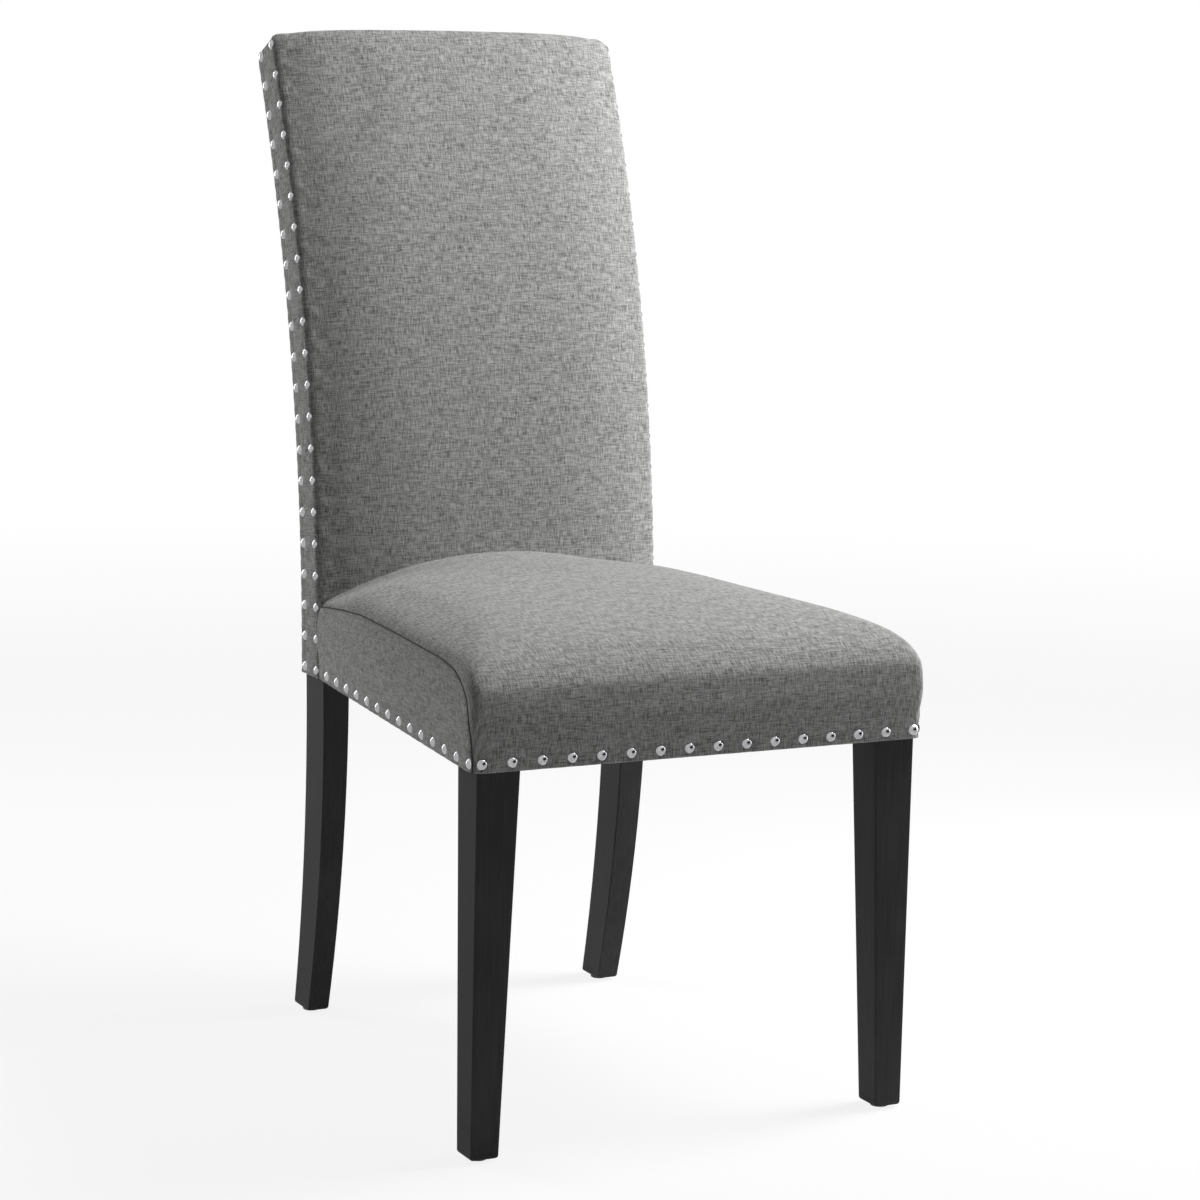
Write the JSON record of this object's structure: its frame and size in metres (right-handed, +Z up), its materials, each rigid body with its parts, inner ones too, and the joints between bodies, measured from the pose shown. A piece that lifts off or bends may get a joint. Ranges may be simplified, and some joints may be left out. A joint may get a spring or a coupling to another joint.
{
  "type": "upholstered side chair",
  "caption": "Armless dining chair with a tall curved upholstered back, a padded box seat, nailhead trim along the edges, tapered front legs and swept rear legs.",
  "frame": {"origin": "on the floor, under the middle of the chair's bounding box", "axes": "+Z up along the tall back, +Y towards the back, +X to the right as seen from the front"},
  "size_m": [0.475, 0.6617, 1.0172],
  "materials": {
    "black_wood": "satin black lacquer",
    "frame_wood": "bare sawn",
    "plywood": "bare sanded",
    "steel": "zinc plated",
    "foam": "open-cell foam",
    "wadding": "fibre fill",
    "grey_linen": "heathered plain weave",
    "black_cloth": "non-woven",
    "nail_chrome": "polished",
    "glide_nylon": "moulded"
  },
  "bodies": {
    "root": {"front_leg_left": "black_wood", "front_leg_right": "black_wood", "rear_post_left": "black_wood", "rear_post_right": "black_wood", "front_rail": "frame_wood", "rear_rail": "frame_wood", "side_rail_left": "frame_wood", "side_rail_right": "frame_wood", "front_corner_block_left": "frame_wood", "front_corner_block_right": "frame_wood", "rear_corner_block_left": "frame_wood", "rear_corner_block_right": "frame_wood", "lower_back_rail": "frame_wood", "middle_back_rail": "frame_wood", "top_back_rail": "frame_wood", "seat_dowels": "frame_wood", "back_dowels": "frame_wood", "seat_board": "plywood", "back_panel": "plywood", "rail_bolts": "steel", "block_screws": "steel", "board_screws": "steel", "leg_bolts": "steel", "leg_bolt_washers": "steel", "leg_bolt_nuts": "steel", "seat_foam": "foam", "back_foam": "foam", "seat_wadding": "wadding", "seat_cover_top": "grey_linen", "seat_cover_side_left": "grey_linen", "seat_cover_side_right": "grey_linen", "back_cover_front": "grey_linen", "back_side_strip_left": "grey_linen", "back_side_strip_right": "grey_linen", "back_cover_rear": "grey_linen", "dust_cover": "black_cloth", "back_liner": "black_cloth", "seat_front_nails": "nail_chrome", "seat_side_nails_left": "nail_chrome", "seat_side_nails_right": "nail_chrome", "back_front_nails_left": "nail_chrome", "back_front_nails_right": "nail_chrome", "back_rear_nails_left": "nail_chrome", "back_rear_nails_right": "nail_chrome", "floor_glides": "glide_nylon"}
  },
  "joints": []
}
